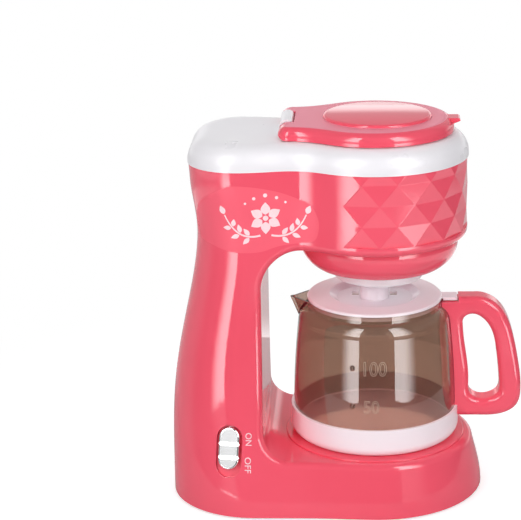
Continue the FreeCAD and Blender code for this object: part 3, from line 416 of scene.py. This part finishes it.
FINISHES = {
    "pink_body": moulded("pink_gloss", PINK, PINK_DEEPER, PINK_ROUGH),
    "white_trim": moulded("white_gloss", WHITE, WHITE_DEEPER, (0.25, 0.32), edge=0.0),
    "smoke_clear": smoked("smoke_clear", SMOKE_SIDE, SMOKE_SIDE_DEEPER, SMOKE_FLOOR_PAINTED_LIGHT),
    "bright_chrome": metal("chrome_plate", CHROME, (0.04, 0.09)),
    "steel": metal("steel_turned", STEEL, (0.25, 0.4), TURNED),
    "contact_metal": metal("nickel_plate", NICKEL, (0.15, 0.3)),
    "black_plastic": moulded("black_matt", BLACK, BLACK_DEEPER, (0.4, 0.55)),
    "board_green": moulded("board_green", BOARD_GREEN, BOARD_GREEN_DEEPER, (0.25, 0.4)),
    "wire_red": moulded("wire_red", WIRE_RED, WIRE_RED_DEEPER, (0.3, 0.4)),
    "foot_rubber": moulded("foot_rubber", RUBBER, RUBBER_DEEPER, (0.6, 0.8)),
    "cell_wrap": moulded("cell_wrap", WRAP, WRAP_DEEPER, (0.2, 0.3)),
}
PINK_LID = lid_plastic("pink_lid", PINK, PINK_DEEPER, PINK_ROUGH)
WHITE_SOFT = moulded("white_soft", WHITE_PALE, WHITE_PALE_DEEPER, (0.14, 0.22))
FILM = moulded("film_satin", FILM_PINK, FILM_PINK_DEEPER, (0.46, 0.52), edge=0.0)
INK = printed("ink_pale", INK_PALE)
# Painted highlight: the pale opaque smoke of the raised numbers.
MARK_PAINTED_HIGHLIGHT = moulded("smoke_painted_highlight", SMOKE_PAINTED_HIGHLIGHT, SMOKE_PAINTED_HIGHLIGHT_DEEPER, (0.08, 0.14), edge=0.0)

# A hair of air between the pot and what is pressed onto it, as on the real one.
POT_SLACK = 0.00004


def finish_nodes():
    """The finish of each slot, apart from three nodes that have their own."""
    for part in frame["record"]["subparts"]:
        node = nodes[part["node"]]
        node.data.materials.clear()
        node.data.materials.append(FINISHES[part["material_slot"]])
    nodes["carafe_lid"].data.materials[0] = WHITE_SOFT
    nodes["carafe_base"].data.materials[0] = WHITE_SOFT
    nodes["brew_lid"].data.materials[0] = PINK_LID
    slack = nodes["carafe_body"].modifiers.new("slack", "DISPLACE")
    slack.strength = -POT_SLACK
    slack.mid_level = 0.0


# Helpers for the print and the relief on the curved faces

def face_mesh(name, outlines):
    """Flat faces from lists of points."""
    work = bmesh.new()
    for points in outlines:
        work.faces.new([work.verts.new(point) for point in points])
    mesh = bpy.data.meshes.new(name)
    work.to_mesh(mesh)
    work.free()
    return mesh


def rectangle(x0, x1, y0, y1):
    return (x0, y0, 0.0), (x1, y0, 0.0), (x1, y1, 0.0), (x0, y1, 0.0)


def new_piece(name, mesh, material, body):
    piece = bpy.data.objects.new(name, mesh)
    bpy.context.scene.collection.objects.link(piece)
    mesh.materials.clear()
    mesh.materials.append(material)
    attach(piece, body)


def smooth_faces(mesh):
    for face in mesh.polygons:
        face.use_smooth = True


def tree_of(node):
    """Search tree for the surface of a node."""
    mesh = nodes[node].data
    mesh.calc_loop_triangles()
    points = [vertex.co.copy() for vertex in mesh.vertices]
    faces = [tuple(face.vertices) for face in mesh.loop_triangles]
    return BVHTree.FromPolygons(points, faces)


def text_mesh(words, resolution, line=0.0):
    """Flat text of size one, or only a raised line along its outlines if a line radius is given."""
    curve = bpy.data.curves.new("words", "FONT")
    if line:
        curve.fill_mode = "NONE"
        curve.bevel_depth = line
        curve.bevel_resolution = 1
    curve.body = words
    curve.align_x = "CENTER"
    curve.align_y = "CENTER"
    curve.resolution_u = resolution
    holder = bpy.data.objects.new("words", curve)
    bpy.context.scene.collection.objects.link(holder)
    bpy.context.view_layer.update()
    mesh = bpy.data.meshes.new_from_object(holder)
    bpy.data.objects.remove(holder)
    return mesh


def flat_size(mesh):
    """Lowest and highest x, then lowest and highest y."""
    xs = [vertex.co.x for vertex in mesh.vertices]
    ys = [vertex.co.y for vertex in mesh.vertices]
    return min(xs), max(xs), min(ys), max(ys)


def refine(mesh, longest):
    """Splits long edges, so that a flat shape can follow a curved face."""
    work = bmesh.new()
    work.from_mesh(mesh)
    bmesh.ops.remove_doubles(work, verts=work.verts, dist=1e-7)
    bmesh.ops.triangulate(work, faces=work.faces)
    for _ in range(6):
        long_edges = [edge for edge in work.edges if edge.calc_length() > longest]
        if not long_edges:
            break
        bmesh.ops.subdivide_edges(work, edges=long_edges, cuts=1)
        bmesh.ops.triangulate(work, faces=work.faces)
    work.to_mesh(mesh)
    work.free()


def on_side(along, up):
    """A layout point of the left side in metres, as (y, z, no height)."""
    return along / 1000.0 + BREW_Y, up / 1000.0, 0.0


def left_face(tree, y, z):
    """Place and normal where a line straight across from the left meets the surface."""
    place, normal, _, _ = tree.ray_cast(Vector((FAR_LEFT, y, z)), ACROSS)
    return place, normal


def laid_on(mesh, tree, lift):
    """Moves a mesh drawn in (y, z) across onto the left side. Each point stands off the surface
    by the lift and its own height together."""
    for vertex in mesh.vertices:
        place, normal = left_face(tree, vertex.co.x, vertex.co.y)
        vertex.co = place + normal * (lift + vertex.co.z)


# Film and print on the side of the head. Shapes are in millimetres, and each LONGEST, the longest
# edge that its mesh keeps, and each LIFT are in metres.

FILM_OUTLINE = (
    (84.0, 156.6), (77.0, 162.4), (69.0, 166.2), (58.0, 165.7), (47.0, 163.2), (38.0, 160.0),
    (31.0, 157.2), (27.4, 152.0), (26.4, 146.0), (28.6, 139.2), (36.0, 137.3), (46.0, 135.8),
    (54.0, 133.4), (62.0, 132.8), (70.0, 133.4), (78.0, 135.4), (84.6, 137.8), (86.5, 147.0),
)
FILM_LONGEST = 0.0025
FILM_LIFT = 0.00008
MOTIF_CENTRE = (52.0, 150.2)
MOTIF_LONGEST = 0.0022
MOTIF_LIFT = 0.00016
PETALS = 6
PETAL_START = 1.8
PETAL_LENGTH = 6.2
PETAL_HALF_WIDTH = 2.3
PETAL_BELLY = 0.8
BLOSSOM_EYE = 1.3
# The stem's start, bend and end from the middle of the blossom, and the shares along it that bear
# a pair of leaves of the length given.
STEM = ((2.6, -8.6), (14.0, -11.6), (19.6, 1.6))
STEM_THICK = 1.0
STEM_THIN = 0.6
LEAF_PAIRS = ((0.22, 4.4), (0.46, 4.4), (0.70, 3.8))
LEAF_LEAN = 0.85
LEAF_START = 0.9
LEAF_HALF_WIDTH = 1.15
TIP_LEAF_START = 0.5
TIP_LEAF_LENGTH = 4.6
TIP_LEAF_HALF_WIDTH = 1.4
# Dots over the blossom: how far out and up from its middle, and their radius.
SIDE_DOTS = ((5.4, 10.0, 0.8), (9.6, 7.6, 0.6))
TOP_DOT = (11.4, 1.0)


def shifted(centre, distance, turn):
    return centre[0] + distance * math.cos(turn), centre[1] + distance * math.sin(turn)


def soft_outline(points, steps=8):
    """Closed smooth line through a few points."""
    count = len(points)
    result = []
    for place in range(count):
        p0, p1, p2, p3 = (Vector(points[(place + shift) % count]) for shift in (-1, 0, 1, 2))
        for step in range(steps):
            t = step / steps
            point = 0.5 * (2 * p1 + (p2 - p0) * t + (2 * p0 - 5 * p1 + 4 * p2 - p3) * t * t
                           + (3 * p1 - p0 - 3 * p2 + p3) * t * t * t)
            result.append(on_side(point.x, point.y))
    return result


def petal(start, turn, length, half_width, steps=10):
    """Leaf shape from a point along an angle, widest a little short of its middle."""
    points = []
    for side in (1, -1):
        for step in range(steps):
            t = step / steps if side == 1 else 1.0 - step / steps
            across = side * half_width * math.sin(math.pi * t ** PETAL_BELLY)
            along = length * t
            y = start[0] + along * math.cos(turn) - across * math.sin(turn)
            z = start[1] + along * math.sin(turn) + across * math.cos(turn)
            points.append(on_side(y, z))
    return points


def disc(centre, radius, steps=20):
    return [on_side(*shifted(centre, radius, 2 * math.pi * step / steps)) for step in range(steps)]


def stem_point(side, share):
    """Point and direction on a sprig's stem, which swings out and up from under the blossom."""
    start, bend, end = STEM
    y = (1 - share) ** 2 * start[0] + 2 * share * (1 - share) * bend[0] + share ** 2 * end[0]
    z = (1 - share) ** 2 * start[1] + 2 * share * (1 - share) * bend[1] + share ** 2 * end[1]
    run = 2 * (1 - share) * (bend[0] - start[0]) + 2 * share * (end[0] - bend[0])
    rise = 2 * (1 - share) * (bend[1] - start[1]) + 2 * share * (end[1] - bend[1])
    return (MOTIF_CENTRE[0] + side * y, MOTIF_CENTRE[1] + z), math.atan2(rise, side * run)


def stem(side, steps=14):
    """Thin curved ribbon along a sprig."""
    edges = ([], [])
    for step in range(steps + 1):
        share = step / steps
        (y, z), turn = stem_point(side, share)
        half = (STEM_THICK + (STEM_THIN - STEM_THICK) * share) / 2.0
        for edge, sign in zip(edges, (1, -1)):
            edge.append(on_side(y - sign * half * math.sin(turn), z + sign * half * math.cos(turn)))
    return edges[0] + edges[1][::-1]


def add_film(tree):
    """Satin film on the side of the head."""
    mesh = face_mesh("film", [soft_outline(FILM_OUTLINE)])
    refine(mesh, FILM_LONGEST)
    laid_on(mesh, tree, FILM_LIFT)
    smooth_faces(mesh)
    new_piece("side_film", mesh, FILM, "body")


def blossom():
    shapes = []
    for place in range(PETALS):
        turn = math.pi / 2 + place * 2 * math.pi / PETALS
        start = shifted(MOTIF_CENTRE, PETAL_START, turn)
        shapes.append(petal(start, turn, PETAL_LENGTH, PETAL_HALF_WIDTH))
    shapes.append(disc(MOTIF_CENTRE, BLOSSOM_EYE))
    return shapes


def sprig(side):
    """Stem with pairs of leaves, a leaf at its tip, and the dots over it."""
    shapes = [stem(side)]
    for share, length in LEAF_PAIRS:
        at, turn = stem_point(side, share)
        for lean in (LEAF_LEAN, -LEAF_LEAN):
            start = shifted(at, LEAF_START, turn + lean)
            shapes.append(petal(start, turn + lean, length, LEAF_HALF_WIDTH))
    tip, turn = stem_point(side, 1.0)
    start = shifted(tip, TIP_LEAF_START, turn)
    shapes.append(petal(start, turn, TIP_LEAF_LENGTH, TIP_LEAF_HALF_WIDTH))
    for out, up, radius in SIDE_DOTS:
        shapes.append(disc((MOTIF_CENTRE[0] + side * out, MOTIF_CENTRE[1] + up), radius))
    return shapes


def add_motif(tree):
    """A plain blossom between two leafy sprigs, printed pale on the film."""
    top_dot = disc((MOTIF_CENTRE[0], MOTIF_CENTRE[1] + TOP_DOT[0]), TOP_DOT[1])
    mesh = face_mesh("print", blossom() + sprig(1) + sprig(-1) + [top_dot])
    refine(mesh, MOTIF_LONGEST)
    laid_on(mesh, tree, MOTIF_LIFT)
    new_piece("side_print", mesh, INK, "body")


# Words beside the switch, in millimetres: the middle of each, along and up, and its length. The
# height of the letters is in millimetres too.
SWITCH_WORDS = (("ON", 62.0, 39.0, 6.0), ("OFF", 62.4, 26.7, 7.4))
WORD_HEIGHT = 3.1
WORD_RESOLUTION = 6
WORD_LONGEST = 0.0012
WORD_LIFT = 0.00008


def add_switch_words(tree):
    """ON and OFF read from top to bottom beside the switch."""
    for words, middle_along, middle_up, length in SWITCH_WORDS:
        mesh = text_mesh(words, WORD_RESOLUTION)
        left, right, low, high = flat_size(mesh)
        for vertex in mesh.vertices:
            along = (vertex.co.x - (left + right) / 2.0) * length / (right - left)
            rise = (vertex.co.y - (low + high) / 2.0) * WORD_HEIGHT / (high - low)
            vertex.co = on_side(middle_along - rise, middle_up - along)
        refine(mesh, WORD_LONGEST)
        laid_on(mesh, tree, WORD_LIFT)
        new_piece("word_" + words.lower(), mesh, INK, "body")


# Marks on the pot, in millimetres: the bottom and top of each number, and where it starts and
# ends. The lens beside it is placed in millimetres too, and its radius is in metres.
POT_NUMBERS = (("100", 70.7, 78.1, 5.3, -6.0), ("50", 51.6, 58.2, 5.3, -2.3))
NUMBER_RESOLUTION = 4
# Radius of the raised line as a share of the letters' size, and metres of height to that size.
NUMBER_LINE = 0.015
NUMBER_RISE = 0.01
LENS_ALONG = 10.8
LENS_RADIUS = 0.0011
LENS_STRETCH = (1.25, 1.25, 0.55, 1.0)
LENS_SEGMENTS = 20
LENS_RINGS = 12


def add_number(tree, words, low, high, start, end):
    """Raised outlines of a number on the pot's left side, in opaque pale smoke as a painted highlight.
    """
    mesh = text_mesh(words, NUMBER_RESOLUTION, NUMBER_LINE)
    text_left, text_right, text_low, text_high = flat_size(mesh)
    for vertex in mesh.vertices:
        along = (vertex.co.x - text_left) / (text_right - text_left)
        rise = (vertex.co.y - text_low) / (text_high - text_low)
        y, z, _ = on_side(start + (end - start) * along, low + (high - low) * rise)
        vertex.co = (y, z, vertex.co.z * NUMBER_RISE)
    laid_on(mesh, tree, 0.0)
    new_piece("mark_" + words, mesh, MARK_PAINTED_HIGHLIGHT, "carafe")


def add_lens(tree, words, height):
    """Small round lens beside a number."""
    work = bmesh.new()
    bmesh.ops.create_uvsphere(
        work, u_segments=LENS_SEGMENTS, v_segments=LENS_RINGS, radius=LENS_RADIUS)
    y, z, _ = on_side(LENS_ALONG, height)
    centre, normal = left_face(tree, y, z)
    turn = Vector((0, 0, 1)).rotation_difference(normal).to_matrix().to_4x4()
    place = Matrix.Translation(centre) @ turn @ Matrix.Diagonal(LENS_STRETCH)
    bmesh.ops.transform(work, matrix=place, verts=work.verts)
    lens = bpy.data.meshes.new("lens")
    work.to_mesh(lens)
    work.free()
    smooth_faces(lens)
    new_piece("lens_" + words, lens, FINISHES["smoke_clear"], "carafe")


def add_volume_marks():
    """The numbers and lenses on the pot's near side."""
    tree = tree_of("carafe_body")
    for words, low, high, start, end in POT_NUMBERS:
        add_number(tree, words, low, high, start, end)
        add_lens(tree, words, (low + high) / 2.0)


# Floor. What the camera sees of it, also through the pot, is lifted by some light of its own, of
# which 1 would be white, and fades to plain white between the two distances of FLOOR_FADE.

FLOOR_REACH = 6.0
FLOOR_COLOUR = (0.66, 0.66, 0.665, 1.0)
FLOOR_LIFT = 0.60
FLOOR_FADE = (0.07, 0.30)
FLOOR_MIRRORED = 0.215


def add_floor():
    """Pale floor that takes the toy's shadow. Reflections show it only close to the toy, and the
    world's pale table from there on."""
    mesh = face_mesh("floor", [rectangle(-FLOOR_REACH, FLOOR_REACH, -FLOOR_REACH, FLOOR_REACH)])
    floor = bpy.data.objects.new("floor", mesh)
    bpy.context.scene.collection.objects.link(floor)
    material = bpy.data.materials.new("floor_pale")
    n = Nodes(material)
    where = n.add("ShaderNodeTexCoord")
    length = n.add("ShaderNodeVectorMath", operation="LENGTH")
    n.link(where.outputs["Object"], length.inputs[0])
    distance = length.outputs["Value"]
    seen = n.rays("Camera", "Transmission")
    diffuse = n.add("ShaderNodeBsdfDiffuse")
    diffuse.inputs["Color"].default_value = FLOOR_COLOUR
    lifted = n.add("ShaderNodeEmission")
    n.link(n.calc("MULTIPLY", seen, FLOOR_LIFT), lifted.inputs["Strength"])
    lit = n.add("ShaderNodeAddShader")
    n.link(diffuse.outputs["BSDF"], lit.inputs[0])
    n.link(lifted.outputs["Emission"], lit.inputs[1])
    plain = n.add("ShaderNodeEmission")
    faded = n.calc("MULTIPLY", n.step(distance, *FLOOR_FADE), seen)
    near = n.mix_shader(faded, lit.outputs["Shader"], plain.outputs["Emission"])
    beyond = n.calc("GREATER_THAN", distance, FLOOR_MIRRORED)
    gone = n.calc("MULTIPLY", beyond, n.rays("Glossy"))
    clear = n.add("ShaderNodeBsdfTransparent")
    n.show(n.mix_shader(gone, near, clear.outputs["BSDF"]))
    mesh.materials.append(material)


# World. Each pair is where a smooth change starts and ends, in one part of a direction of length 1.

WORLD_LEVEL = 0.28
WORLD_TINT = (1.0, 0.985, 0.98, 1.0)
BACKDROP_COLOUR = (0.8, 0.8, 0.8, 1.0)
ROOM_LEVEL = 0.08
BACKDROP_LEVEL = 0.80
TABLE_FAR_EDGE = (-0.345, -0.325)
TABLE_GLOW_EDGE = (-0.72, -0.60)
BACKDROP_SKEW = 0.4
BACKDROP_EDGE = (0.0, 0.6)
CEILING_EDGE = (0.05, 0.5)
CEILING_SHARE = 0.5
HIGH_FADE = (0.25, 0.9)
HIGH_SHARE = 0.55
REAR_GLOW_EDGE = (0.45, 0.75)
REAR_GLOW_RISE = (-0.06, 0.04)
REAR_GLOW_FALL = (0.10, 0.24)
REAR_GLOW_SHARE = 1.5


def room_level(n):
    """Brightness that reflections show: a pale table and backdrop, and a dim room on the near side."""
    x, y, z = n.split("Generated")
    table = n.step(z, *TABLE_FAR_EDGE, 1.0, 0.0)
    away = n.calc("ADD", x, n.calc("MULTIPLY", y, BACKDROP_SKEW))
    backdrop = n.step(away, *BACKDROP_EDGE)
    ceiling = n.step(z, *CEILING_EDGE, 0.0, CEILING_SHARE)
    bright = n.calc("MAXIMUM", n.calc("MAXIMUM", table, backdrop), ceiling)
    high_up = n.step(z, *HIGH_FADE, 1.0, HIGH_SHARE)
    level = n.step(n.calc("MULTIPLY", bright, high_up), 0.0, 1.0, ROOM_LEVEL, BACKDROP_LEVEL)
    table_glow = n.calc("MULTIPLY", table, n.step(z, *TABLE_GLOW_EDGE))
    rear = n.step(x, *REAR_GLOW_EDGE)
    rear_glow = n.calc("MULTIPLY", rear, n.band(z, REAR_GLOW_RISE, REAR_GLOW_FALL))
    brighter = n.calc("MAXIMUM", table_glow, n.calc("MULTIPLY", rear_glow, REAR_GLOW_SHARE))
    return n.calc("ADD", level, n.calc("MULTIPLY", brighter, BACKDROP_LEVEL))


def add_world():
    """Pale behind the toy, an even soft light on it, and a room for its reflections."""
    world = bpy.data.worlds.new("studio")
    bpy.context.scene.world = world
    n = Nodes(world)
    soft = n.add("ShaderNodeBackground")
    soft.inputs["Color"].default_value = WORLD_TINT
    soft.inputs["Strength"].default_value = WORLD_LEVEL
    behind = n.add("ShaderNodeBackground")
    behind.inputs["Color"].default_value = BACKDROP_COLOUR
    behind.inputs["Strength"].default_value = 1.0
    mirrored = n.add("ShaderNodeBackground")
    mirrored.inputs["Color"].default_value = BACKDROP_COLOUR
    n.link(room_level(n), mirrored.inputs["Strength"])
    light = n.mix_shader(n.rays("Glossy"), soft.outputs["Background"], mirrored.outputs["Background"])
    seen = n.rays("Camera", "Transmission")
    n.show(n.mix_shader(seen, light, behind.outputs["Background"]), "ShaderNodeOutputWorld")


# Lamps: where they are, their width and height, and their power in watts. Cards: how far each is
# turned from the toy's left towards its rear, its width, and the sign of its bright end. Upright
# faces mirror a card from MIRRORED_FROM up, and the dim gap is between its two pairs of heights.

LAMP_TARGET = (0.0, 0.0, 0.09)
LAMPS = (
    ("lamp_left", (-0.80, 0.55, 0.55), (0.6, 0.9), 5.4),
    ("lamp_right", (-0.80, -0.62, 0.50), (0.6, 0.9), 5.1),
    ("lamp_top", (0.1, 0.0, 1.2), (1.0, 1.0), 1.3),
    ("lamp_far", (0.95, 0.15, 0.55), (0.8, 0.9), 5.0),
)
CARDS = (("card_left", 36.0, 1.2, -1), ("card_right", -46.0, 1.5, 1))
CARD_DISTANCE = 2.4
MIRRORED_FROM = 0.062
CARD_LOW = MIRRORED_FROM - CARD_DISTANCE * math.tan(CAMERA_PITCH)
CARD_HIGH = 4.0
CARD_GAP_LOW = (-0.17, -0.12)
CARD_GAP_HIGH = (0.52, 0.64)
CARD_BRIGHT = 8.5
CARD_DIM = 0.85
CARD_FADE = 0.3


def area_lamp(name, place, size, power):
    """Soft lamp that lights the toy and does not show in reflections."""
    data = bpy.data.lights.new(name, "AREA")
    data.shape = "RECTANGLE"
    data.size, data.size_y = size
    data.energy = power
    lamp = bpy.data.objects.new(name, data)
    lamp.location = place
    lamp.rotation_euler = (Vector(LAMP_TARGET) - Vector(place)).to_track_quat("-Z", "Y").to_euler()
    lamp.visible_glossy = False
    bpy.context.scene.collection.objects.link(lamp)


def card_material(name, width, bright_end):
    """Brightest at one end, bright below the dim gap and again above it."""
    material = bpy.data.materials.new(name)
    n = Nodes(material)
    glow = n.add("ShaderNodeEmission")
    far_end = -bright_end * width / 2.0
    across, _, rise = n.split("Object")
    fade = n.step(across, far_end, -CARD_FADE * far_end)
    lower = n.step(rise, *CARD_GAP_LOW, CARD_BRIGHT, CARD_DIM)
    upper = n.step(rise, *CARD_GAP_HIGH, 0.0, CARD_BRIGHT)
    n.link(n.calc("MULTIPLY", fade, n.calc("ADD", lower, upper)), glow.inputs["Strength"])
    n.show(glow.outputs["Emission"])
    return material


def add_card(name, turn, width, bright_end):
    """Two softboxes, one over the other with a dim gap, that show only in reflections."""
    flat = rectangle(-width / 2, width / 2, CARD_LOW, CARD_HIGH)
    mesh = face_mesh(name, [[(across, 0.0, height) for across, height, _ in flat]])
    mesh.materials.append(card_material(name, width, bright_end))
    card = bpy.data.objects.new(name, mesh)
    angle = math.radians(turn)
    centre = Vector((-CARD_DISTANCE * math.cos(angle), BREW_Y + CARD_DISTANCE * math.sin(angle), 0.0))
    card.matrix_world = Matrix.Translation(centre) @ Matrix.Rotation(math.pi / 2 - angle, 4, "Z")
    bpy.context.scene.collection.objects.link(card)
    card.visible_camera = False
    card.visible_diffuse = False
    card.visible_transmission = False
    card.visible_shadow = False
    card.visible_volume_scatter = False


def add_light():
    for name, place, size, power in LAMPS:
        area_lamp(name, place, size, power)
    for name, turn, width, bright_end in CARDS:
        add_card(name, turn, width, bright_end)


add_camera()
finish_nodes()
shell_tree = tree_of("left_shell")
add_film(shell_tree)
add_motif(shell_tree)
add_switch_words(shell_tree)
add_volume_marks()
add_floor()
add_world()
add_light()
bpy.context.scene.view_settings.view_transform = "Standard"
